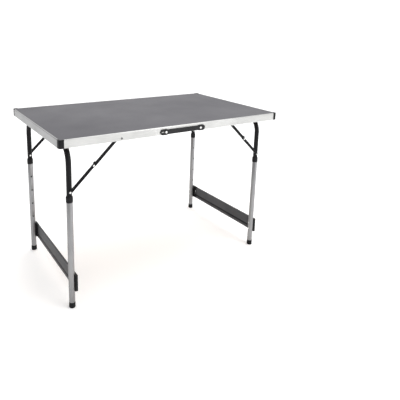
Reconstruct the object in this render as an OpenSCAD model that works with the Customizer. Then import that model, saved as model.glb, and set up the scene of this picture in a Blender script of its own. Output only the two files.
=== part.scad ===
// Folding work table: laminated board in an aluminium edge frame, two U-shaped leg frames that fold
// flat under the top, telescoping lower tubes, a folding brace at each leg, and a strap handle.
// Millimetres, +Z up. Origin: on the floor under the middle of the top. X runs along the long sides,
// the handle is on the front long side (-Y). Shown standing at its lowest height.

/* [Top] */
// Overall length of the top
table_l = 1110; // [900:1:1400]
// Overall width of the top
table_w = 666; // [560:1:900]
// Height of the top above the floor, legs pushed in
table_h = 730; // [650:1:850]
// Height of the edge profile
edge_h = 33; // [28:0.5:45]
// Width of the edge profile's bottom flange
edge_w = 14; // [10:0.5:18]
// Thickness of the board
board_t = 5; // [4:0.2:8]
// Length of a corner cap along each side
cap_l = 20; // [18:1:40]

/* [Leg frames] */
// Outside diameter of the black upper tube
upper_d = 22; // [19:0.5:24]
// Wall of the silver lower tube
lower_wall = 1.62; // [1.2:0.02:2.4]
// Bend radius of the upper frame, to the tube's middle
bend_r = 80; // [50:1:100]
// Distance of the folding axis from the end of the top
leg_inset = 50; // [45:1:90]
// Mean distance of the legs from the long side of the top
leg_edge = 60; // [55:1:90]

/* [Height adjustment] */
// Height of the lowest hole in the lower tube
hole_z = 188; // [175:1:200]
// Distance between two holes
hole_step = 70; // [40:1:75]
// Number of holes
hole_n = 4; // [2:1:4]
// Distance of the collar's top end below the tabletop
collar_down = 240.5; // [220:0.5:260]

/* [Crossbar] */
// Height of the crossbar's lower edge
bar_z = 74; // [50:1:90]
// Height of the crossbar's face
bar_h = 70; // [40:1:74]
// Thickness of the crossbar
bar_t = 7.5; // [6:0.5:7.5]

/* [Braces] */
// Width of a brace link
link_w = 14; // [10:0.5:15]
// Height of the brace's pin above the collar
pin_up = 17.5; // [16:0.5:30]

/* [Handle] */
// Length of the strap
strap_l = 230; // [210:1:300]
// Height of the strap
strap_h = 26; // [18:0.5:27]
// Thickness of the strap
strap_t = 4; // [3:0.5:5]

/* [Hidden] */
$fn = 64;
eps = 0.01;
LEFT = -1;
RIGHT = 1;
FRONT = -1;
BACK = 1;

// Running clearance of a tube or pin in its hole, on the radius, and the gap between moving sheets
fit = 0.08;
gap = 0.4;

// Edge profile: outer wall, lip over the laminate, shelf under the board, bottom flange
wall_t = 1.6;
lip_t = 1;
lip_w = 5;
lip_r = 3;
shelf_t = 1.5;
shelf_w = 12;
flange_up = 4;
laminate_t = 0.8;
board_gap = 1.4;
half_l = table_l / 2;
half_w = table_w / 2;
edge_bottom = table_h - edge_h;
laminate_top = table_h - lip_t;
board_top = laminate_top - laminate_t;
board_bottom = board_top - board_t;
board_r = 10;
corner_r = 9;
cap_proud = 0.4;

// Leg frames. The folding axis leaves room above the folded tubes for a crossbar, and the sideways
// shift of each pair lets the pairs lie side by side.
upper_r = upper_d / 2;
upper_wall = 1.5;
bore_r = upper_r + fit;
lower_r = bore_r + lower_wall;
collar_r = lower_r + 1.5;
leg_shift = collar_r + 1.8;
foot_r = lower_r + 0.6;
bar_off = collar_r + 0.3;
hinge_z = board_bottom - bar_off - bar_t - 1.2;
hinge_x = half_l - leg_inset;
leg_mid = half_w - leg_edge;
collar_top = table_h - collar_down;
upper_end = hole_z - 23;
foot_h = 25;
foot_sole = 4;
collar_h = 26;
collar_grip = 14.5;
hole_r = 4;
clip_y = leg_mid - bend_r - leg_shift - 20;
clip_l = 18;

// Buttons, stored pushed in level with the upper tube
button_r = 3.5 - fit;
button_tip = upper_r - 0.4;

// Crossbar caps and rivets
cap_in = 36;
cap_out = 13;
bar_wall = 1.2;
groove_d = 1.2;
groove_h = 10;
groove_z = bar_z + bar_h * 0.2;
rivet_r = 2.5;

// Braces. Outboard braces hang on the long profile, inboard ones on a bracket under the board.
link_r = link_w / 2;
link_t = 2;
plane_step = link_t + 1.1;
pivot_r = 3;
head_t = 0.5;
head_r = 4.4;
pin_z = collar_top + pin_up;
pin_folded = hinge_x - (hinge_z - pin_z);
out_u = [pin_folded - 13.5, edge_bottom + 9];
in_u = [pin_folded - 5, hinge_z - 4.5];
bracket_t = 1.4;
stop_reach = 16;

// Handle
strap_x = -5;
strap_z = edge_bottom + 11.5;
strap_gap = 0.4;
strap_r = 8;
anchor_x = strap_x + strap_l / 2 - 24;
slot_x = strap_x - strap_l / 2 + 27;
half_span = 80;
mid_x = anchor_x - 10 - half_span;
bend_gap = 1.3;
slot_len = 20;

// ---- helpers ---------------------------------------------------------------------------------

// Y position of a leg: the left pair is shifted to the front, the right pair to the back
function leg_y(side, end) = end * leg_mid + side * leg_shift;

// An outboard leg stands nearer to its long side than an inboard one
function outboard(side, end) = side * end > 0;

// Brace points in the XZ plane: pin on the leg, pivot under the top, knee between them
function pin_pt(side) = [side * hinge_x, pin_z];
function top_pt(side, end) =
    let (u = outboard(side, end) ? out_u : in_u) [side * u[0], u[1]];
function lower_len(side, end) =
    let (span = norm(top_pt(side, end) - pin_pt(side)))
    (span - (pin_folded - abs(top_pt(side, end)[0]))) / 2;
function knee_pt(side, end) =
    let (p = pin_pt(side), u = top_pt(side, end)) p + (u - p) * lower_len(side, end) / norm(u - p);

// Distance from the table's middle plane of the inner face of a brace plane (0 lower, 1 upper link)
function plane_y(side, end, n) = abs(leg_y(side, end)) + upper_r + gap + n * plane_step;

// Rod along Y between y0 and y1
module rod_y(x, z, r, y0, y1) {
    translate([x, max(y0, y1), z]) rotate([90, 0, 0]) cylinder(r = r, h = abs(y1 - y0));
}

// Rod along X between x0 and x1
module rod_x(y, z, r, x0, x1) {
    translate([min(x0, x1), y, z]) rotate([0, 90, 0]) cylinder(r = r, h = abs(x1 - x0));
}

// Box between two corners
module box(a, b) {
    translate([min(a[0], b[0]), min(a[1], b[1]), min(a[2], b[2])])
        cube([abs(b[0] - a[0]), abs(b[1] - a[1]), abs(b[2] - a[2])]);
}

// Upright tube from z0 to z1
module tube(x, y, z0, z1, ro, ri) {
    translate([x, y, z0]) difference() {
        cylinder(r = ro, h = z1 - z0);
        translate([0, 0, -eps]) cylinder(r = ri, h = z1 - z0 + 2 * eps);
    }
}

// Rectangle with rounded corners, centred
module round_rect(lx, ly, r) {
    square([lx - 2 * r, ly], center = true);
    square([lx, ly - 2 * r], center = true);
    for (i = [-1, 1], j = [-1, 1]) translate([i * (lx / 2 - r), j * (ly / 2 - r)]) circle(r = r);
}

// ---- top -------------------------------------------------------------------------------------

module sheet(z, t) {
    inset = wall_t + board_gap;
    translate([0, 0, z]) linear_extrude(height = t)
        round_rect(table_l - 2 * inset, table_w - 2 * inset, board_r);
}

module board() {
    color("tan") sheet(board_bottom, board_t);
}

module laminate() {
    color("dimgray") sheet(board_top, laminate_t);
}

// Section of the edge profile: X is the distance in from the outer face, Y is the height
module edge_section() {
    lip_z = table_h - lip_r;
    translate([0, edge_bottom]) square([wall_t, edge_h - lip_r]);
    translate([0, edge_bottom]) square([edge_w, wall_t]);
    translate([edge_w - wall_t, edge_bottom]) square([wall_t, flange_up]);
    translate([0, board_bottom - shelf_t]) square([shelf_w, shelf_t]);
    translate([lip_r, laminate_top]) square([lip_w - lip_r, lip_t]);
    intersection() {
        translate([lip_r, lip_z]) difference() {
            circle(r = lip_r);
            circle(r = lip_r - lip_t);
        }
        translate([0, lip_z]) square([lip_r, lip_r]);
    }
}

// One profile: `length` long, its outer face `out` from the middle, facing -Y before the turn
module edge_bar(length, out) {
    translate([length / 2, -out, 0]) rotate([90, 0, -90]) mirror([1, 0, 0])
        linear_extrude(height = length) edge_section();
}

module edge_front() {
    color("silver") difference() {
        edge_bar(table_l - 2 * cap_l, half_w);
        rod_y(-out_u[0], out_u[1], pivot_r, -half_w - 1, -half_w + wall_t + 1);
        for (x = [anchor_x, slot_x]) rod_y(x, strap_z, rivet_r, -half_w - 1, -half_w + wall_t + 1);
    }
}

module edge_back() {
    color("silver") difference() {
        rotate([0, 0, 180]) edge_bar(table_l - 2 * cap_l, half_w);
        rod_y(out_u[0], out_u[1], pivot_r, half_w - wall_t - 1, half_w + 1);
    }
}

module edge_end(side) {
    color("silver") rotate([0, 0, side * 90]) edge_bar(table_w - 2 * cap_l, half_l);
}

// Corner cap, drawn for the corner at -X, -Y
module corner_cap(side, end) {
    turn_x = side == RIGHT ? [1, 0, 0] : [0, 0, 0];
    turn_y = end == BACK ? [0, 1, 0] : [0, 0, 0];
    color("black") mirror(turn_x) mirror(turn_y) translate([-half_l, -half_w, 0]) difference() {
        translate([0, 0, edge_bottom - cap_proud])
            linear_extrude(height = edge_h + 2 * cap_proud) corner_plan(-cap_proud, cap_l, edge_w);
        translate([0, 0, board_bottom]) linear_extrude(height = laminate_top - board_bottom)
            corner_room(wall_t + board_gap, board_r);
        translate([0, 0, laminate_top - eps]) linear_extrude(height = 4) translate([lip_w, lip_w])
            square(cap_l);
    }
}

// L-shaped outline of a cap with a round outer corner
module corner_plan(o, l, w) {
    translate([corner_r + o, o]) square([l - corner_r - o, w - o]);
    translate([o, corner_r + o]) square([w - o, l - corner_r - o]);
    translate([o, o]) intersection() {
        square(corner_r);
        translate([corner_r, corner_r]) circle(r = corner_r);
    }
}

// Space that the board's corner takes inside a cap
module corner_room(d, r) {
    translate([d + r, d]) square([cap_l, cap_l]);
    translate([d, d + r]) square([cap_l, cap_l]);
    translate([d + r, d + r]) circle(r = r);
}

// Clips that hold the horizontal run of each leg frame, with ears screwed to the board
module hinge_clips() {
    color("black") for (s = [LEFT, RIGHT], e = [FRONT, BACK]) translate([s * hinge_x, e * clip_y, 0])
        difference() {
            union() {
                rod_y(0, hinge_z, upper_r + 3, -clip_l / 2, clip_l / 2);
                box([-upper_r - 3, -clip_l / 2, hinge_z], [upper_r + 3, clip_l / 2, board_bottom]);
                box([-upper_r - 15, -clip_l / 2, board_bottom - 3],
                    [upper_r + 15, clip_l / 2, board_bottom]);
            }
            rod_y(0, hinge_z, bore_r, -clip_l, clip_l);
        }
}

module clip_screws() {
    color("silver") for (s = [LEFT, RIGHT], e = [FRONT, BACK], k = [-1, 1])
        translate([s * hinge_x + k * (upper_r + 9), e * clip_y, board_bottom - 4.5])
            cylinder(r1 = 2.6, r2 = 3.5, h = 1.5);
}

// ---- brace mounts under the top --------------------------------------------------------------

// Bushes between the long profiles and the outboard braces
module brace_spacers() {
    color("black") for (s = [LEFT, RIGHT]) difference() {
        rod_y(s * out_u[0], out_u[1], 5, s * (half_w - wall_t), s * (plane_y(s, s, 1) + link_t + gap));
        rod_y(s * out_u[0], out_u[1], pivot_r, s * half_w, s * plane_y(s, s, 1));
    }
}

module edge_rivets() {
    color("dimgray") for (s = [LEFT, RIGHT]) {
        inner = plane_y(s, s, 1);
        rod_y(s * out_u[0], out_u[1], pivot_r, s * (inner - 0.3), s * half_w);
        rod_y(s * out_u[0], out_u[1], head_r, s * (inner - 0.3 - head_t), s * (inner - 0.3));
        rod_y(s * out_u[0], out_u[1], 4.5, s * half_w, s * (half_w + 1.2));
    }
}

// Brackets that carry the inboard braces: an eye, an arm and a flange riveted to the board
module brace_brackets() {
    top = board_bottom - shelf_t;
    foot_x = in_u[0] + 30;
    color("black") for (s = [LEFT, RIGHT]) {
        y0 = plane_y(s, -s, 1) + link_t + 0.3;
        difference() {
            union() {
                rod_y(s * in_u[0], in_u[1], link_r, -s * y0, -s * (y0 + bracket_t));
                arm(s, -s * y0, top, foot_x);
                box([s * foot_x, -s * (y0 + bracket_t - 24), top],
                    [s * (foot_x + 31), -s * (y0 + bracket_t), board_bottom]);
            }
            rod_y(s * in_u[0], in_u[1], pivot_r, -s * (y0 - 1), -s * (y0 + bracket_t + 1));
        }
    }
}

// Arm of a bracket, kept low near its eye so that a folded crossbar passes over it
module arm(s, y0, top, foot_x) {
    low = hinge_z + collar_r - 4;
    translate([0, y0, 0]) rotate([90, 0, 0]) mirror([0, 0, s == LEFT ? 1 : 0])
        linear_extrude(height = bracket_t) scale([s, 1]) polygon([
            [in_u[0] + 2, in_u[1] - link_r + 0.4], [foot_x + 8, in_u[1] + 6], [foot_x + 31, top],
            [foot_x, top], [foot_x, low], [in_u[0] - 3, in_u[1] + link_r - 0.8]]);
}

module bracket_rivets() {
    color("silver") for (s = [LEFT, RIGHT]) {
        y0 = plane_y(s, -s, 1) + link_t + 0.3;
        rod_y(s * in_u[0], in_u[1], pivot_r, -s * (y0 + bracket_t), -s * (y0 - link_t - 0.3));
        for (k = [8, 23]) translate([s * (in_u[0] + 30 + k), -s * (y0 - 11), board_bottom - shelf_t - 1.2])
            cylinder(r1 = 2.4, r2 = 3.2, h = 1.2);
    }
}

// ---- handle ----------------------------------------------------------------------------------

// Stretch of the strap between two X positions, with rounded corners at a free end
module strap_piece(x0, x1, free0, free1) {
    y_in = -half_w - strap_gap;
    a = free0 ? strap_r : 0;
    b = free1 ? strap_r : 0;
    box([x0 + a, y_in - strap_t, strap_z - strap_h / 2], [x1 - b, y_in, strap_z + strap_h / 2]);
    box([x0, y_in - strap_t, strap_z - strap_h / 2 + max(a, b)],
        [x1, y_in, strap_z + strap_h / 2 - max(a, b)]);
    if (free0) for (k = [-1, 1])
        rod_y(x0 + strap_r, strap_z + k * (strap_h / 2 - strap_r), strap_r, y_in - strap_t, y_in);
    if (free1) for (k = [-1, 1])
        rod_y(x1 - strap_r, strap_z + k * (strap_h / 2 - strap_r), strap_r, y_in - strap_t, y_in);
}

module strap_anchor() {
    color("black") difference() {
        strap_piece(mid_x + half_span + bend_gap / 2, strap_x + strap_l / 2, false, true);
        rod_y(anchor_x, strap_z, rivet_r, -half_w, -half_w - 9);
    }
}

module strap_right() {
    color("black") strap_piece(mid_x + bend_gap, mid_x + half_span - bend_gap / 2, false, false);
}

module strap_left() {
    color("black") strap_piece(mid_x - half_span + bend_gap / 2, mid_x - bend_gap, false, false);
}

module strap_slide_end() {
    color("black") difference() {
        strap_piece(strap_x - strap_l / 2, mid_x - half_span - bend_gap / 2, true, false);
        for (k = [0, 1]) rod_y(slot_x - k * slot_len, strap_z, rivet_r + 0.1, -half_w, -half_w - 9);
        box([slot_x - slot_len, -half_w - 9, strap_z - rivet_r - 0.1],
            [slot_x, -half_w, strap_z + rivet_r + 0.1]);
    }
}

module handle_rivets() {
    outer = -half_w - strap_gap - strap_t;
    color("silver") for (x = [anchor_x, slot_x]) {
        slack = x == slot_x ? 0.3 : 0;
        rod_y(x, strap_z, rivet_r, outer - slack, -half_w + wall_t);
        rod_y(x, strap_z, 5, outer - slack - 1.3, outer - slack);
    }
}

// ---- leg frames ------------------------------------------------------------------------------

// Bent corner of the upper frame
module bend(side, end) {
    translate([side * hinge_x, leg_y(side, end) - end * bend_r, hinge_z - bend_r])
        rotate([90, 0, end * 90]) rotate_extrude(angle = 90) translate([bend_r, 0]) difference() {
            circle(r = upper_r);
            circle(r = upper_r - upper_wall);
        }
}

module upper_frame(side) {
    x = side * hinge_x;
    color("black") difference() {
        union() {
            for (e = [FRONT, BACK]) {
                tube(x, leg_y(side, e), upper_end, hinge_z - bend_r, upper_r, upper_r - upper_wall);
                bend(side, e);
            }
            translate([x, leg_y(side, BACK) - bend_r, hinge_z]) rotate([90, 0, 0])
                tube(0, 0, 0, 2 * leg_mid - 2 * bend_r, upper_r, upper_r - upper_wall);
        }
        for (e = [FRONT, BACK]) {
            y = leg_y(side, e);
            rod_y(x, hole_z, button_r + fit, y, y - e * 2 * upper_r);
            rod_y(x, pin_z, rivet_r, y - 2 * upper_r, y + 2 * upper_r);
        }
    }
}

// Pins through the upper tubes that the lower links turn on
module brace_pins(side) {
    x = side * hinge_x;
    color("silver") for (e = [FRONT, BACK]) {
        y = leg_y(side, e);
        face = e * (plane_y(side, e, 0) + link_t + 0.3);
        rod_y(x, pin_z, rivet_r, y - e * (upper_r + 1), face);
        rod_y(x, pin_z, head_r, face, face + e * head_t);
        rod_y(x, pin_z, head_r, y - e * (upper_r + 1), y - e * upper_r);
    }
}

module lower_tube(side, end) {
    x = side * hinge_x;
    y = leg_y(side, end);
    color("silver") difference() {
        tube(x, y, foot_sole, collar_top - collar_h + collar_grip, lower_r, bore_r);
        for (i = [0:hole_n - 1]) if (hole_z + i * hole_step < collar_top - collar_h - 2 * hole_r)
            rod_y(x, hole_z + i * hole_step, hole_r, y, y - end * 2 * lower_r);
        for (z = rivet_heights()) rod_x(y, z, rivet_r, x - 2 * lower_r, x + 2 * lower_r);
    }
}

function rivet_heights() = [bar_z + bar_h * 0.27, bar_z + bar_h * 0.73];

module collars(side) {
    z0 = collar_top - collar_h;
    color("black") for (e = [FRONT, BACK]) translate([side * hinge_x, leg_y(side, e), 0]) difference() {
        union() {
            translate([0, 0, z0]) cylinder(r = collar_r, h = collar_h - 5);
            translate([0, 0, z0 + collar_h - 5]) cylinder(r1 = collar_r, r2 = collar_r - 1.4, h = 5);
        }
        translate([0, 0, z0 - eps]) cylinder(r = lower_r, h = collar_grip + eps);
        translate([0, 0, z0]) cylinder(r = bore_r, h = collar_h + eps);
    }
}

module feet(side) {
    color("black") for (e = [FRONT, BACK]) translate([side * hinge_x, leg_y(side, e), 0]) difference() {
        union() {
            cylinder(r1 = foot_r - 1.2, r2 = foot_r, h = 1.5);
            translate([0, 0, 1.5]) cylinder(r = foot_r, h = foot_h - 1.5);
        }
        translate([0, 0, foot_sole]) cylinder(r = lower_r, h = foot_h);
    }
}

// Flat hollow bar with a groove pressed into both faces; it lies on the +X side of its legs
module crossbar(side) {
    color("dimgray") difference() {
        bar_solid(side, 0, 0);
        bar_solid(side, bar_wall, 1);
    }
}

// The bar's solid, drawn in by inset on every face and longer by past at both ends
module bar_solid(side, inset, past) {
    x0 = side * hinge_x + bar_off;
    y0 = leg_y(side, FRONT) + cap_in - past;
    y1 = leg_y(side, BACK) - cap_in + past;
    depth = groove_d + inset;
    difference() {
        box([x0 + inset, y0, bar_z + inset], [x0 + bar_t - inset, y1, bar_z + bar_h - inset]);
        for (x = [x0, x0 + bar_t])
            box([x - depth, y0 - 1, groove_z - inset], [x + depth, y1 + 1, groove_z + groove_h + inset]);
    }
}

// Plastic end cap: a saddle on the tube, a body round the bar's end and an oval opening
module crossbar_caps(side) {
    x0 = side * hinge_x + lower_r - 1.5;
    x1 = side * hinge_x + bar_off + bar_t;
    color("black") for (e = [FRONT, BACK]) {
        y = leg_y(side, e);
        difference() {
            union() {
                box([x0, y + e * cap_out, bar_z - 1], [x1, y - e * cap_out, bar_z + bar_h + 1]);
                box([side * hinge_x + bar_off, y - e * (cap_out - eps), bar_z - 1],
                    [x1, y - e * cap_in, bar_z + bar_h + 1]);
            }
            tube(side * hinge_x, y, bar_z - 2, bar_z + bar_h + 2, lower_r, 0.1);
            for (z = rivet_heights()) rod_x(y, z, rivet_r, x0 - 1, x1 + 1);
            oval(y - e * (cap_out + 10), x0, x1);
        }
    }
}

module oval(y, x0, x1) {
    for (k = [-1, 1]) rod_x(y, bar_z + bar_h / 2 + k * 11, 5, x0 - 1, x1 + 1);
    box([x0 - 1, y - 5, bar_z + bar_h / 2 - 11], [x1 + 1, y + 5, bar_z + bar_h / 2 + 11]);
}

module crossbar_rivets(side) {
    x = side * hinge_x;
    out = bar_off + bar_t;
    color("silver") for (e = [FRONT, BACK], z = rivet_heights()) {
        y = leg_y(side, e);
        rod_x(y, z, rivet_r, x - lower_r - 0.5, x + out);
        rod_x(y, z, 4.5, x + out, x + out + 0.8);
        rod_x(y, z, 4, x - lower_r - 1, x - lower_r);
    }
}

// Spring button of one leg: pushed in level with the upper tube, it faces the middle of the table
module button(side, end) {
    x = side * hinge_x;
    y = leg_y(side, end);
    color("gray") {
        rod_y(x, hole_z, button_r, y - end * 2.5, y - end * (button_tip - 1));
        rod_y(x, hole_z, button_r - 0.7, y - end * (button_tip - 1 - eps), y - end * button_tip);
        rod_y(x, hole_z, 5, y - end * 1, y - end * 2.5);
    }
}

// ---- braces ----------------------------------------------------------------------------------

// Turns a piece drawn along +X, with its first pivot at 0, so that it runs from p to q in the XZ plane
module along(p, q) {
    d = q - p;
    translate([p[0], 0, p[1]]) rotate([0, -atan2(d[1], d[0]), 0]) children();
}

// Flat bar with a round end at each pivot, its inner face `y0` from the middle
module link(length, y0, end) {
    for (x = [0, length]) rod_y(x, 0, link_r, end * y0, end * (y0 + link_t));
    box([0, end * y0, -link_r], [length, end * (y0 + link_t), link_r]);
}

module upper_link(side, end) {
    k = knee_pt(side, end);
    u = top_pt(side, end);
    length = norm(u - k);
    y0 = plane_y(side, end, 1);
    color("black") along(k, u) difference() {
        link(length, y0, end);
        rod_y(0, 0, rivet_r, end * (y0 - 1), end * (y0 + link_t + 1));
        rod_y(length, 0, pivot_r + 0.05, end * (y0 - 1), end * (y0 + link_t + 1));
    }
}

// The lower link runs past the knee, and its stop lug bends over the upper link's edge
module lower_link(side, end) {
    length = lower_len(side, end);
    y0 = plane_y(side, end, 0);
    up = -side;
    tip = length + stop_reach;
    color("black") along(pin_pt(side), knee_pt(side, end)) difference() {
        union() {
            rod_y(0, 0, link_r, end * y0, end * (y0 + link_t));
            box([0, end * y0, -link_r], [tip, end * (y0 + link_t), link_r]);
            box([tip - 11, end * y0, up * (link_r - 1)], [tip, end * (y0 + link_t), up * (link_r + 3)]);
            box([tip - 11, end * y0, up * (link_r + 0.8)],
                [tip, end * (y0 + plane_step + link_t), up * (link_r + 3)]);
        }
        rod_y(0, 0, rivet_r + 0.05, end * (y0 - 1), end * (y0 + link_t + 1));
        rod_y(length, 0, rivet_r, end * (y0 - 1), end * (y0 + link_t + 1));
    }
}

// Knee rivet: carried by the upper link, its shank stops at that link's inner face
module knee_rivet(side, end) {
    k = knee_pt(side, end);
    y0 = plane_y(side, end, 1);
    color("silver") {
        rod_y(k[0], k[1], rivet_r, end * y0, end * (y0 + link_t));
        rod_y(k[0], k[1], head_r, end * (y0 + link_t), end * (y0 + link_t + 0.8));
    }
}

// ---- nodes -----------------------------------------------------------------------------------

board();
laminate();
edge_front();
edge_back();
edge_end(LEFT);  // edge_left
edge_end(RIGHT);  // edge_right
corner_cap(LEFT, FRONT);  // corner_front_left
corner_cap(RIGHT, FRONT);  // corner_front_right
corner_cap(LEFT, BACK);  // corner_back_left
corner_cap(RIGHT, BACK);  // corner_back_right
hinge_clips();
clip_screws();
brace_spacers();
edge_rivets();
brace_brackets();
bracket_rivets();
handle_rivets();
strap_anchor();
strap_right();
strap_left();
strap_slide_end();
upper_frame(LEFT);  // left_upper_frame
brace_pins(LEFT);  // left_brace_pins
lower_tube(LEFT, FRONT);  // left_front_lower_tube
lower_tube(LEFT, BACK);  // left_back_lower_tube
collars(LEFT);  // left_collars
feet(LEFT);  // left_feet
crossbar(LEFT);  // left_crossbar
crossbar_caps(LEFT);  // left_crossbar_caps
crossbar_rivets(LEFT);  // left_crossbar_rivets
upper_frame(RIGHT);  // right_upper_frame
brace_pins(RIGHT);  // right_brace_pins
lower_tube(RIGHT, FRONT);  // right_front_lower_tube
lower_tube(RIGHT, BACK);  // right_back_lower_tube
collars(RIGHT);  // right_collars
feet(RIGHT);  // right_feet
crossbar(RIGHT);  // right_crossbar
crossbar_caps(RIGHT);  // right_crossbar_caps
crossbar_rivets(RIGHT);  // right_crossbar_rivets
button(LEFT, FRONT);  // button_left_front
button(LEFT, BACK);  // button_left_back
button(RIGHT, FRONT);  // button_right_front
button(RIGHT, BACK);  // button_right_back
upper_link(LEFT, FRONT);  // upper_link_left_front
upper_link(LEFT, BACK);  // upper_link_left_back
upper_link(RIGHT, FRONT);  // upper_link_right_front
upper_link(RIGHT, BACK);  // upper_link_right_back
lower_link(LEFT, FRONT);  // lower_link_left_front
lower_link(LEFT, BACK);  // lower_link_left_back
lower_link(RIGHT, FRONT);  // lower_link_right_front
lower_link(RIGHT, BACK);  // lower_link_right_back
knee_rivet(LEFT, FRONT);  // knee_rivet_left_front
knee_rivet(LEFT, BACK);  // knee_rivet_left_back
knee_rivet(RIGHT, FRONT);  // knee_rivet_right_front
knee_rivet(RIGHT, BACK);  // knee_rivet_right_back
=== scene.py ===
import math
import bmesh
import bpy
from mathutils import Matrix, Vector


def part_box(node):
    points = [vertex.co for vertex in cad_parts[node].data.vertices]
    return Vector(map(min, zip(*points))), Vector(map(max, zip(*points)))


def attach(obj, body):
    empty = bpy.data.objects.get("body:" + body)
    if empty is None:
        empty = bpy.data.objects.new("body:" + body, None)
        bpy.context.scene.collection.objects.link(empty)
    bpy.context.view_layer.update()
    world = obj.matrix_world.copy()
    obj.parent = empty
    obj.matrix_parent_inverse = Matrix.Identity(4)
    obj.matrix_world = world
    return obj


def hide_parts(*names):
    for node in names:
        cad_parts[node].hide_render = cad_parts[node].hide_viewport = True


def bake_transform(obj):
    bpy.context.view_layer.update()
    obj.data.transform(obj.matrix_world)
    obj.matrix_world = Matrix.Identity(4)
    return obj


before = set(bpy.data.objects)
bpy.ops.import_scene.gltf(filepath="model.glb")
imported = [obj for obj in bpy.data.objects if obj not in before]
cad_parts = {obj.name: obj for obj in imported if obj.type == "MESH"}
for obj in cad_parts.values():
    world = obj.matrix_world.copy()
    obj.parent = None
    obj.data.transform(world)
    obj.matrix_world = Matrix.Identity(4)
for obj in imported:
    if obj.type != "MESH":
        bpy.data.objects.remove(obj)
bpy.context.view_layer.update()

# ---- Camera, floor and light -----------------------------------------------------------------
# A pale floor that runs out of sight, a bright even room and two broad soft lamps: one high over
# the table and one in front of the handle side. The room is dimmer on the left, so that the short
# side stands in half shade; the backdrop itself is white all round.
scene = bpy.context.scene
scene.view_settings.view_transform = "Standard"

camera = bpy.data.objects.new("camera", bpy.data.cameras.new("camera"))
camera.location = (-1.0622, -1.8488, 1.1661)
camera.rotation_euler = [math.radians(turn) for turn in (77.2713, -1.1852, -32.0581)]
camera.data.lens = 39.7945
camera.data.sensor_width = 36
camera.data.shift_x = 0.09
camera.data.shift_y = -0.2
scene.collection.objects.link(camera)
scene.camera = camera

room = bpy.data.worlds.new("room")
room.use_nodes = True
scene.world = room
air = room.node_tree
facing = air.nodes.new("ShaderNodeSeparateXYZ")
air.links.new(air.nodes.new("ShaderNodeTexCoord").outputs["Generated"], facing.inputs["Vector"])
walls = air.nodes.new("ShaderNodeValToRGB")
walls.color_ramp.elements[0].position = 0.18
walls.color_ramp.elements[0].color = (0.4, 0.4, 0.405, 1)
walls.color_ramp.elements[1].position = 0.62
walls.color_ramp.elements[1].color = (1, 1, 1, 1)
half = air.nodes.new("ShaderNodeMapRange")
half.inputs["From Min"].default_value = -1.0
air.links.new(facing.outputs["X"], half.inputs["Value"])
air.links.new(half.outputs["Result"], walls.inputs["Fac"])
seen = air.nodes.new("ShaderNodeMix")
seen.data_type = "RGBA"
seen.inputs["B"].default_value = (1, 1, 1, 1)
air.links.new(air.nodes.new("ShaderNodeLightPath").outputs["Is Camera Ray"], seen.inputs["Factor"])
air.links.new(walls.outputs["Color"], seen.inputs["A"])
air.links.new(seen.outputs["Result"], air.nodes["Background"].inputs["Color"])
air.nodes["Background"].inputs["Strength"].default_value = 1.3


def lamp(name, where, aim, size, power):
    light = bpy.data.lights.new(name, "AREA")
    light.shape = "DISK"
    light.size = size
    light.energy = power
    holder = bpy.data.objects.new(name, light)
    holder.location = where
    holder.rotation_euler = (Vector(aim) - Vector(where)).to_track_quat("-Z", "Y").to_euler()
    scene.collection.objects.link(holder)


lamp("overhead", (0.5, 0.3, 3.6), (0, 0, 0.4), 3.6, 60)
lamp("front", (1.8, -3.4, 1.9), (0, 0, 0.5), 2.4, 40)

floor_mesh = bpy.data.meshes.new("floor")
floor_half = 30
floor_corners = [(x * floor_half, y * floor_half, 0) for x, y in ((-1, -1), (1, -1), (1, 1), (-1, 1))]
floor_mesh.from_pydata(floor_corners, [], [(0, 1, 2, 3)])
floor = bpy.data.objects.new("floor", floor_mesh)
scene.collection.objects.link(floor)
pale = bpy.data.materials.new("pale_floor")
pale.use_nodes = True
for label, value in (("Base Color", (0.96, 0.96, 0.96, 1)), ("Roughness", 0.9), ("Specular IOR Level", 0.1),
                     ("Emission Color", (1, 1, 1, 1)), ("Emission Strength", 0.15)):
    pale.node_tree.nodes["Principled BSDF"].inputs[label].default_value = value
floor_mesh.materials.append(pale)

# ---- Tabletop: laminate on fibreboard --------------------------------------------------------
# A thin fibreboard with a grey laminate glued on its face. The laminate has a faint cloudy print
# and a fine matt tooth; the board's underside shows pressed wood fibres.


def effect(name, inputs, outputs):
    """Starts a shader node group: inputs are (name, kind, value), outputs are names."""
    tree = bpy.data.node_groups.new(name, "ShaderNodeTree")
    for label, kind, value in inputs:
        socket = tree.interface.new_socket(name=label, in_out="INPUT", socket_type=kind)
        socket.default_value = value
    for label in outputs:
        tree.interface.new_socket(name=label, in_out="OUTPUT", socket_type="NodeSocketFloat")
    return tree, tree.nodes.new("NodeGroupInput"), tree.nodes.new("NodeGroupOutput")


def noise(tree, vector, scale, detail=3.0):
    node = tree.nodes.new("ShaderNodeTexNoise")
    tree.links.new(vector, node.inputs["Vector"])
    if isinstance(scale, (int, float)):
        node.inputs["Scale"].default_value = scale
    else:
        tree.links.new(scale, node.inputs["Scale"])
    node.inputs["Detail"].default_value = detail
    return node.outputs["Fac"]


def calc(tree, operation, a, b):
    node = tree.nodes.new("ShaderNodeMath")
    node.operation = operation
    for socket, value in zip(node.inputs, (a, b)):
        if isinstance(value, (int, float)):
            socket.default_value = value
        else:
            tree.links.new(value, socket)
    return node.outputs[0]


def spread(tree, value, low, high, out_low=0.0, out_high=1.0):
    node = tree.nodes.new("ShaderNodeMapRange")
    tree.links.new(value, node.inputs["Value"])
    for label, number in zip(("From Min", "From Max", "To Min", "To Max"), (low, high, out_low, out_high)):
        node.inputs[label].default_value = number
    return node.outputs["Result"]


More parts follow.
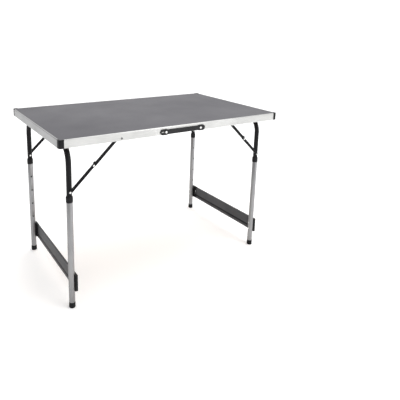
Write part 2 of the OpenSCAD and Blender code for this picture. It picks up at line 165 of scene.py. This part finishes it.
# Moulded or pressed surface tooth: Height is the fine relief, Tone the slow change of shade.
tooth, tooth_in, tooth_out = effect(
    "surface_tooth",
    [("Grain", "NodeSocketFloat", 900.0), ("Cloud", "NodeSocketFloat", 6.0)],
    ["Height", "Tone"])
place = tooth.nodes.new("ShaderNodeTexCoord").outputs["Object"]
cells = tooth.nodes.new("ShaderNodeTexVoronoi")
tooth.links.new(place, cells.inputs["Vector"])
tooth.links.new(tooth_in.outputs["Grain"], cells.inputs["Scale"])
rough = noise(tooth, place, calc(tooth, "MULTIPLY", tooth_in.outputs["Grain"], 0.6), 2.0)
tooth.links.new(calc(tooth, "MULTIPLY", cells.outputs["Distance"], rough), tooth_out.inputs["Height"])
slow = noise(tooth, place, tooth_in.outputs["Cloud"], 4.0)
tooth.links.new(spread(tooth, slow, 0.3, 0.7), tooth_out.inputs["Tone"])

# Signs of use: Scuffs are sparse thin scratches, Film is the haze that wiping leaves.
use, use_in, use_out = effect(
    "signs_of_use", [("Amount", "NodeSocketFloat", 1.0)], ["Scuffs", "Film"])
place = use.nodes.new("ShaderNodeTexCoord").outputs["Object"]
turned_map = use.nodes.new("ShaderNodeMapping")
turned_map.inputs["Rotation"].default_value = (0.2, 0.3, 0.7)
turned_map.inputs["Scale"].default_value = (3.0, 60.0, 60.0)
use.links.new(place, turned_map.inputs["Vector"])
thin = spread(use, noise(use, turned_map.outputs["Vector"], 2.0, 4.0), 0.66, 0.72)
where = spread(use, noise(use, place, 7.0, 2.0), 0.5, 0.62)
marks = calc(use, "MULTIPLY", calc(use, "MULTIPLY", thin, where), use_in.outputs["Amount"])
use.links.new(marks, use_out.inputs["Scuffs"])
use.links.new(spread(use, noise(use, place, 3.5, 5.0), 0.35, 0.75), use_out.inputs["Film"])


def finish_named(name, metallic=0.0, **sockets):
    """A new material with its own Principled BSDF, and numbers set straight on that shader."""
    material = bpy.data.materials.new(name)
    material.use_nodes = True
    shader = material.node_tree.nodes["Principled BSDF"]
    shader.inputs["Metallic"].default_value = metallic
    for label, value in sockets.items():
        shader.inputs[label.replace("_", " ")].default_value = value
    return material, material.node_tree, shader


def place_effect(tree, group, **values):
    node = tree.nodes.new("ShaderNodeGroup")
    node.node_tree = group
    for label, value in values.items():
        node.inputs[label].default_value = value
    return node


def two_tone(tree, mask, dark, light):
    node = tree.nodes.new("ShaderNodeMix")
    node.data_type = "RGBA"
    tree.links.new(mask, node.inputs["Factor"])
    node.inputs["A"].default_value = (*dark, 1)
    node.inputs["B"].default_value = (*light, 1)
    return node.outputs["Result"]


def relief(tree, shader, height, strength, depth):
    bump = tree.nodes.new("ShaderNodeBump")
    bump.inputs["Strength"].default_value = strength
    bump.inputs["Distance"].default_value = depth
    tree.links.new(height, bump.inputs["Height"])
    tree.links.new(bump.outputs["Normal"], shader.inputs["Normal"])


def dress(node, material, edge=0.0004, steps=2):
    """Gives a CAD node its finish, and breaks its sharp edges as filing or moulding does."""
    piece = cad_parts[node]
    piece.data.materials.clear()
    piece.data.materials.append(material)
    if edge:
        weld = piece.modifiers.new("weld", "WELD")
        weld.merge_threshold = 0.00002
        bevel = piece.modifiers.new("broken_edges", "BEVEL")
        bevel.width = edge
        bevel.segments = steps
        bevel.limit_method = "ANGLE"
        bevel.angle_limit = math.radians(35)
        bevel.harden_normals = True


laminate_grey, tree, shader = finish_named("grey_laminate", Specular_IOR_Level=0.22)
face = place_effect(tree, tooth, Grain=1400.0, Cloud=3.0)
wear = place_effect(tree, use, Amount=1.0)
fleck = tree.nodes.new("ShaderNodeTexCoord").outputs["Object"]
flecks = spread(tree, noise(tree, fleck, 520.0, 2.0), 0.42, 0.62)
base = two_tone(tree, face.outputs["Tone"], (0.064, 0.062, 0.071), (0.078, 0.076, 0.086))
printed = tree.nodes.new("ShaderNodeMix")
printed.data_type = "RGBA"
printed.blend_type = "MULTIPLY"
printed.inputs["Factor"].default_value = 0.35
tree.links.new(base, printed.inputs["A"])
tree.links.new(two_tone(tree, flecks, (0.8, 0.8, 0.8), (1.1, 1.1, 1.1)), printed.inputs["B"])
tree.links.new(printed.outputs["Result"], shader.inputs["Base Color"])
haze = spread(tree, wear.outputs["Film"], 0.0, 1.0, 0.46, 0.58)
tree.links.new(calc(tree, "SUBTRACT", haze, calc(tree, "MULTIPLY", wear.outputs["Scuffs"], 0.12)),
               shader.inputs["Roughness"])
relief(tree, shader, face.outputs["Height"], 0.25, 0.0002)
dress("laminate", laminate_grey, 0)

fibreboard, tree, shader = finish_named("fibreboard", Roughness=0.82)
place = tree.nodes.new("ShaderNodeTexCoord").outputs["Object"]
fibres = tree.nodes.new("ShaderNodeMapping")
fibres.inputs["Scale"].default_value = (60.0, 420.0, 420.0)
tree.links.new(place, fibres.inputs["Vector"])
strands = noise(tree, fibres.outputs["Vector"], 1.0, 5.0)
clouds = noise(tree, place, 18.0, 4.0)
shade = spread(tree, calc(tree, "ADD", strands, clouds), 0.75, 1.25)
tree.links.new(two_tone(tree, shade, (0.36, 0.215, 0.11), (0.56, 0.385, 0.225)), shader.inputs["Base Color"])
relief(tree, shader, strands, 0.35, 0.0003)
dress("board", fibreboard, 0)

# ---- Edge frame ------------------------------------------------------------------------------
# Four lengths of extruded aluminium, satin anodised, that grip the board's rim. The die leaves
# fine lines along each length, and the rounded lip catches the light. The left and right lengths
# get a darker copy of the same metal, which is painted shade.

# Extruded metal: Lines run along the length, Tone is the slow unevenness of the anodising.
drawn, drawn_in, drawn_out = effect(
    "drawn_lines", [("Stretch", "NodeSocketVector", (1.0, 40.0, 40.0))], ["Lines", "Tone"])
place = drawn.nodes.new("ShaderNodeTexCoord").outputs["Object"]
stretched = drawn.nodes.new("ShaderNodeMapping")
drawn.links.new(place, stretched.inputs["Vector"])
drawn.links.new(drawn_in.outputs["Stretch"], stretched.inputs["Scale"])
drawn.links.new(noise(drawn, stretched.outputs["Vector"], 30.0, 3.0), drawn_out.inputs["Lines"])
drawn.links.new(noise(drawn, place, 9.0, 3.0), drawn_out.inputs["Tone"])


def satin_metal(name, stretch, dark, light, low, high, depth=0.00006):
    material, tree, shader = finish_named(name, metallic=1.0)
    metal = place_effect(tree, drawn, Stretch=stretch)
    wear = place_effect(tree, use, Amount=1.0)
    shade = calc(tree, "ADD", calc(tree, "MULTIPLY", metal.outputs["Lines"], 0.5),
                 calc(tree, "MULTIPLY", metal.outputs["Tone"], 0.5))
    tree.links.new(two_tone(tree, spread(tree, shade, 0.35, 0.65), dark, light), shader.inputs["Base Color"])
    gloss = spread(tree, metal.outputs["Lines"], 0.3, 0.7, low, high)
    tree.links.new(calc(tree, "ADD", gloss, calc(tree, "MULTIPLY", wear.outputs["Scuffs"], 0.15)),
                   shader.inputs["Roughness"])
    relief(tree, shader, metal.outputs["Lines"], 0.4, depth)
    return material


# Same metal twice: front and back keep its own tone, left and right are darker as painted shade.
edge_x = satin_metal("anodised_edge_x", (1.0, 40.0, 40.0), (0.46, 0.46, 0.45), (0.58, 0.58, 0.57), 0.36, 0.48)
side_edge_shaded = satin_metal("anodised_edge_painted_shade", (40.0, 1.0, 40.0), (0.32, 0.32, 0.32), (0.42, 0.42, 0.42), 0.36, 0.48)
for node in ("edge_front", "edge_back"):
    dress(node, edge_x, 0.0003)
for node in ("edge_left", "edge_right"):
    dress(node, side_edge_shaded, 0.0003)

# ---- Corner caps -----------------------------------------------------------------------------
# Black moulded caps that close the mitred ends of the edge profiles and round off the corners.


def black_moulding(name, colour, grain, low, high):
    material, tree, shader = finish_named(name, Specular_IOR_Level=0.16)
    face = place_effect(tree, tooth, Grain=grain, Cloud=20.0)
    wear = place_effect(tree, use, Amount=1.0)
    light = tuple(c * 1.7 + 0.002 for c in colour)
    tree.links.new(two_tone(tree, face.outputs["Tone"], colour, light), shader.inputs["Base Color"])
    gloss = spread(tree, face.outputs["Tone"], 0.0, 1.0, low, high)
    tree.links.new(calc(tree, "ADD", gloss, calc(tree, "MULTIPLY", wear.outputs["Scuffs"], 0.2)),
                   shader.inputs["Roughness"])
    relief(tree, shader, face.outputs["Height"], 0.35, 0.00025)
    return material


black_plastic = black_moulding("black_plastic", (0.006, 0.006, 0.007), 1100.0, 0.42, 0.55)
for node in ("corner_front_left", "corner_front_right", "corner_back_left", "corner_back_right"):
    dress(node, black_plastic, 0.0012, steps=3)

# ---- Hinge clips and screws ------------------------------------------------------------------
# Black moulded clips that hold each leg frame's cross run against the board, so that the frame
# can turn in them. Two countersunk screws with a cross recess hold each clip.
dress("hinge_clips", black_plastic, 0.0006)


def plated_steel(name, dark, light, low, high):
    material, tree, shader = finish_named(name, metallic=1.0)
    face = place_effect(tree, tooth, Grain=700.0, Cloud=60.0)
    tree.links.new(two_tone(tree, face.outputs["Tone"], dark, light), shader.inputs["Base Color"])
    tree.links.new(spread(tree, face.outputs["Tone"], 0.0, 1.0, low, high), shader.inputs["Roughness"])
    relief(tree, shader, face.outputs["Height"], 0.2, 0.0001)
    return material


zinc = plated_steel("zinc_steel", (0.55, 0.55, 0.54), (0.75, 0.75, 0.74), 0.25, 0.4)
dress("clip_screws", zinc, 0.0002)

# ---- Carrying strap --------------------------------------------------------------------------
# A black moulded strap on the front edge. Its right end is riveted fast, its left end has a slot
# that slides on its rivet, so that the middle bows out when it is lifted. On the table it bends at three
# places; here it is built as three fixed pieces.
strap_black = black_moulding("strap_plastic", (0.014, 0.014, 0.015), 620.0, 0.45, 0.6)
anchor_low, anchor_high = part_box("strap_anchor")
slide_low, slide_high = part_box("strap_slide_end")
strap_back = anchor_high.y
strap_front = anchor_low.y
strap_z = (anchor_low.z + anchor_high.z) / 2
end_r = (anchor_high.z - anchor_low.z) / 2 - 0.0003
waist = end_r - 0.0022
end_length = 0.030
slot_r = 0.0026
slot_length = 0.020
left_end, right_end = slide_low.x, anchor_high.x


def strap_half(x):
    """Half the strap's height at x: round ends, a shoulder, then the slimmer middle."""
    reach = min(x - left_end, right_end - x)
    if reach < end_r:
        return max(0.0002, math.sqrt(max(0.0, end_r ** 2 - (end_r - reach) ** 2)))
    step = min(1.0, max(0.0, (reach - end_length) / 0.008))
    return end_r + (waist - end_r) * (3 * step ** 2 - 2 * step ** 3)


def strap_thick(x):
    """How much thinner the middle is than the two ends."""
    reach = min(x - left_end, right_end - x)
    step = min(1.0, max(0.0, (reach - end_length) / 0.006))
    return 0.0007 * step


def mesh_piece(name, bm, material):
    """Makes a smooth-shaded piece from a finished bmesh."""
    bmesh.ops.remove_doubles(bm, verts=bm.verts, dist=1e-6)
    bmesh.ops.recalc_face_normals(bm, faces=bm.faces)
    mesh = bpy.data.meshes.new(name)
    bm.to_mesh(mesh)
    bm.free()
    mesh.materials.append(material)
    for polygon in mesh.polygons:
        polygon.use_smooth = True
    piece = bpy.data.objects.new(name, mesh)
    scene.collection.objects.link(piece)
    return piece


def strap_part(name, x0, x1):
    """One stretch of the strap, as rings round its length. Its rim stands proud of its face."""
    count = max(8, round((x1 - x0) / 0.0015))
    stops = [x0 + (x1 - x0) * i / count for i in range(count + 1)]
    bm = bmesh.new()
    rings = []
    for x in stops:
        h, t = strap_half(x), strap_thick(x)
        r = min(0.0012, h * 0.4)
        rim = min(0.0026, h * 0.6)
        outer = strap_front + t
        section = [(strap_back, -h + r), (strap_back - r, -h), (outer + r, -h),
                   (outer + r * 0.3, -h + r * 0.3),
                   (outer, -h + r), (outer, -h + rim), (outer + 0.0004, -h + rim * 1.25),
                   (outer + 0.0004, h - rim * 1.25), (outer, h - rim), (outer, h - r),
                   (outer + r * 0.3, h - r * 0.3), (outer + r, h), (strap_back - r, h), (strap_back, h - r)]
        rings.append([bm.verts.new((x, y, strap_z + z)) for y, z in section])
    for a, b in zip(rings, rings[1:]):
        for i in range(len(a)):
            j = (i + 1) % len(a)
            bm.faces.new((a[i], a[j], b[j], b[i]))
    bm.faces.new(rings[0])
    bm.faces.new(reversed(rings[-1]))
    return mesh_piece(name, bm, strap_black)


right_low, right_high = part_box("strap_right")
left_low, left_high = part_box("strap_left")
seam_right = (right_low.x + right_high.x) / 2
seam_left = (left_low.x + left_high.x) / 2
bends = [(anchor_low.x + right_high.x) / 2, (right_low.x + left_high.x) / 2, (left_low.x + slide_high.x) / 2]


def cut_slot(piece, x0, x1):
    """Cuts a round-ended slot through the strap and bakes the cut into the mesh."""
    bm = bmesh.new()
    ring = []
    steps = 32
    for k in range(steps):
        turn = 2 * math.pi * k / steps
        cx = x1 if math.cos(turn) > 0 else x0
        ring.append((cx + slot_r * math.cos(turn), slot_r * math.sin(turn)))
    front = [bm.verts.new((x, strap_front - 0.002, strap_z + z)) for x, z in ring]
    back = [bm.verts.new((x, strap_back + 0.002, strap_z + z)) for x, z in ring]
    bm.faces.new(front)
    bm.faces.new(reversed(back))
    for i in range(steps):
        j = (i + 1) % steps
        bm.faces.new((front[i], back[i], back[j], front[j]))
    cutter = mesh_piece("slot_cutter", bm, strap_black)
    cut = piece.modifiers.new("slot", "BOOLEAN")
    cut.object = cutter
    cut.operation = "DIFFERENCE"
    cut.solver = "EXACT"
    done = bpy.data.meshes.new_from_object(piece.evaluated_get(bpy.context.evaluated_depsgraph_get()))
    piece.modifiers.clear()
    piece.data = done
    bpy.data.objects.remove(cutter)


rivet_low, rivet_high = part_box("handle_rivets")
rivet_head_r = 0.005
slot_x, anchor_x = rivet_low.x + rivet_head_r, rivet_high.x - rivet_head_r
strap_parts = (
    ("strap_right_end", seam_right, right_end, ("top", "strap_right"), bends[0], 0.006, ("strap_anchor",)),
    ("strap_middle", seam_left, seam_right, ("strap_right", "strap_left"), bends[1], 0.008,
     ("strap_right", "strap_left")),
    ("strap_left_end", left_end, seam_left, ("strap_left", "strap_slide_end"), bends[2], 0.006,
     ("strap_slide_end",)))
for name, x0, x1, bodies, bend, half_bend, stands in strap_parts:
    part = strap_part(name, x0, x1)
    if name == "strap_left_end":
        cut_slot(part, slot_x - slot_length, slot_x)
    if name == "strap_right_end":
        cut_slot(part, anchor_x - 0.00001, anchor_x + 0.00001)
    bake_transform(part)
    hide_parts(*stands)
dress("handle_rivets", zinc, 0.0006, steps=3)

# ---- Upper leg frames ------------------------------------------------------------------------
# Each is one steel tube bent into a U and powder coated black. The coat has a faint orange peel,
# and sparse scuffs make it a little shinier in places.


def powder_coat(name, colour, low, high):
    material, tree, shader = finish_named(name, Specular_IOR_Level=0.14)
    peel = place_effect(tree, tooth, Grain=420.0, Cloud=14.0)
    wear = place_effect(tree, use, Amount=1.0)
    light = tuple(c * 1.6 + 0.001 for c in colour)
    tree.links.new(two_tone(tree, peel.outputs["Tone"], colour, light), shader.inputs["Base Color"])
    gloss = spread(tree, peel.outputs["Tone"], 0.0, 1.0, low, high)
    tree.links.new(calc(tree, "SUBTRACT", gloss, calc(tree, "MULTIPLY", wear.outputs["Scuffs"], 0.1)),
                   shader.inputs["Roughness"])
    relief(tree, shader, peel.outputs["Height"], 0.3, 0.0003)
    return material


black_coat = powder_coat("black_powder_coat", (0.005, 0.005, 0.006), 0.36, 0.48)
for side in ("left", "right"):
    dress(side + "_upper_frame", black_coat, 0.0003)
    dress(side + "_brace_pins", zinc, 0.0002)

# ---- Braces ----------------------------------------------------------------------------------
# A folding brace at each leg: two flat steel links, coated black, joined at the knee by a plated
# rivet. The outer ones hang on the long edge, the inner ones on a bracket under the board.
dark_steel = plated_steel("dark_steel", (0.10, 0.10, 0.10), (0.2, 0.2, 0.2), 0.35, 0.5)
for side in ("left", "right"):
    for end in ("front", "back"):
        dress("upper_link_%s_%s" % (side, end), black_coat, 0.0004)
        dress("lower_link_%s_%s" % (side, end), black_coat, 0.0004)
        dress("knee_rivet_%s_%s" % (side, end), zinc, 0.0002)
dress("brace_spacers", black_plastic, 0.0003)
dress("brace_brackets", black_coat, 0.0003)
dress("edge_rivets", dark_steel, 0.0004)
dress("bracket_rivets", zinc, 0.0002)

# ---- Lower tubes -----------------------------------------------------------------------------
# Drawn aluminium tubes, satin anodised, with a row of button holes on their inner sides.
tube_satin = satin_metal(
    "anodised_tube", (40.0, 40.0, 1.0), (0.25, 0.25, 0.255), (0.33, 0.33, 0.335), 0.3, 0.42)
for side in ("left", "right"):
    for end in ("front", "back"):
        dress("%s_%s_lower_tube" % (side, end), tube_satin, 0.0002)

# ---- Collars ---------------------------------------------------------------------------------
# Black moulded rings pressed on the top of each lower tube, with shallow grip grooves and a
# tapered shoulder. The upper tube slides in them.


tube_fit = 0.01272
sleeve_fit = 0.01112


def turned(bm, profile, x, y, steps=64):
    """Turns a profile of (radius, height) round an upright axis at x, y."""
    rings = []
    for k in range(steps):
        turn = 2 * math.pi * k / steps
        rings.append([bm.verts.new((x + r * math.cos(turn), y + r * math.sin(turn), z)) for r, z in profile])
    for i in range(steps):
        a, b = rings[i], rings[(i + 1) % steps]
        for j in range(len(profile) - 1):
            if profile[j][0] < 1e-6 and profile[j + 1][0] < 1e-6:
                continue
            bm.faces.new((a[j], b[j], b[j + 1], a[j + 1]))


for side in ("left", "right"):
    low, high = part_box(side + "_collars")
    outer = (high.x - low.x) / 2
    x = (low.x + high.x) / 2
    z0, z1 = low.z, high.z
    profile = [(tube_fit, z0 + 0.0004), (outer - 0.0005, z0), (outer, z0 + 0.0008)]
    for k in range(3):
        g = z0 + 0.005 + 0.004 * k
        profile += [(outer, g), (outer - 0.0005, g + 0.0005),
                    (outer - 0.0005, g + 0.0012), (outer, g + 0.0017)]
    profile += [(outer, z1 - 0.0052), (outer - 0.0004, z1 - 0.004), (outer - 0.0014, z1 - 0.0005),
                (outer - 0.0019, z1), (0.01125, z1), (sleeve_fit, z1 - 0.0006), (sleeve_fit, z0 + 0.0150),
                (tube_fit, z0 + 0.0148), (tube_fit, z0 + 0.0004)]
    bm = bmesh.new()
    for y in (low.y + outer, high.y - outer):
        turned(bm, profile, x, y)
    collars = mesh_piece(side + "_collar_rings", bm, black_plastic)
    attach(collars, side + "_lower_leg")
    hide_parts(side + "_collars")

# ---- Feet ------------------------------------------------------------------------------------
# Black rubber-like caps pushed on the tube ends, with a soft edge at the floor and two grooves.
foot_black = black_moulding("foot_plastic", (0.006, 0.006, 0.007), 800.0, 0.5, 0.65)
for side in ("left", "right"):
    low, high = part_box(side + "_feet")
    outer = (high.x - low.x) / 2
    x = (low.x + high.x) / 2
    z1 = high.z
    profile = [(0.0, 0.0006), (outer - 0.004, 0.0006), (outer - 0.0036, 0.0), (outer - 0.0016, 0.0),
               (outer - 0.0006, 0.0006), (outer, 0.002)]
    for g in (z1 - 0.0085, z1 - 0.0055):
        profile += [(outer, g), (outer - 0.0004, g + 0.0004),
                    (outer - 0.0004, g + 0.0010), (outer, g + 0.0014)]
    profile += [(outer, z1 - 0.0008), (outer - 0.0004, z1), (tube_fit, z1), (tube_fit, z1 - 0.002)]
    bm = bmesh.new()
    for y in (low.y + outer, high.y - outer):
        turned(bm, profile, x, y)
    feet = mesh_piece(side + "_foot_caps", bm, foot_black)
    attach(feet, side + "_lower_leg")
    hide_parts(side + "_feet")

# ---- Crossbars -------------------------------------------------------------------------------
# A flat grey bar joins the two lower tubes of each leg frame; the band of its pressed groove is
# painted near-black, as painted shade in the recess. The moulded end caps wrap the bar, hug the tube and have
# an oval opening.
bar_grey = satin_metal(
    "grey_bar", (40.0, 1.0, 40.0), (0.060, 0.060, 0.063), (0.088, 0.088, 0.092), 0.42, 0.55)
bar_low, bar_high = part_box("left_crossbar")
# Painted shade: the groove's height band gets a near-black colour mixed into the bar's colour.
groove_low = bar_low.z + (bar_high.z - bar_low.z) * 0.2
groove_high = groove_low + 0.010
blur = 0.0002
tree = bar_grey.node_tree
shader = tree.nodes["Principled BSDF"]
height = tree.nodes.new("ShaderNodeSeparateXYZ")
tree.links.new(tree.nodes.new("ShaderNodeTexCoord").outputs["Object"], height.inputs["Vector"])
groove_painted_shade = calc(tree, "MULTIPLY", spread(tree, height.outputs["Z"], groove_low - blur, groove_low + blur),
                 spread(tree, height.outputs["Z"], groove_high - blur, groove_high + blur, 1.0, 0.0))
shaded = tree.nodes.new("ShaderNodeMix")
shaded.data_type = "RGBA"
tree.links.new(groove_painted_shade, shaded.inputs["Factor"])
tree.links.new(shader.inputs["Base Color"].links[0].from_socket, shaded.inputs["A"])
# Near-black colour of the painted shade in the groove.
shaded.inputs["B"].default_value = (0.022, 0.022, 0.024, 1)
tree.links.new(shaded.outputs["Result"], shader.inputs["Base Color"])
for side in ("left", "right"):
    dress(side + "_crossbar", bar_grey, 0.0004)
    dress(side + "_crossbar_caps", black_plastic, 0.0008, steps=3)
    dress(side + "_crossbar_rivets", zinc, 0.0003)

# ---- Spring buttons --------------------------------------------------------------------------
# A small plated button in each upper tube drops into a hole of the lower tube and sets the height.
for side in ("left", "right"):
    for end in ("front", "back"):
        dress("button_%s_%s" % (side, end), dark_steel, 0.0003)
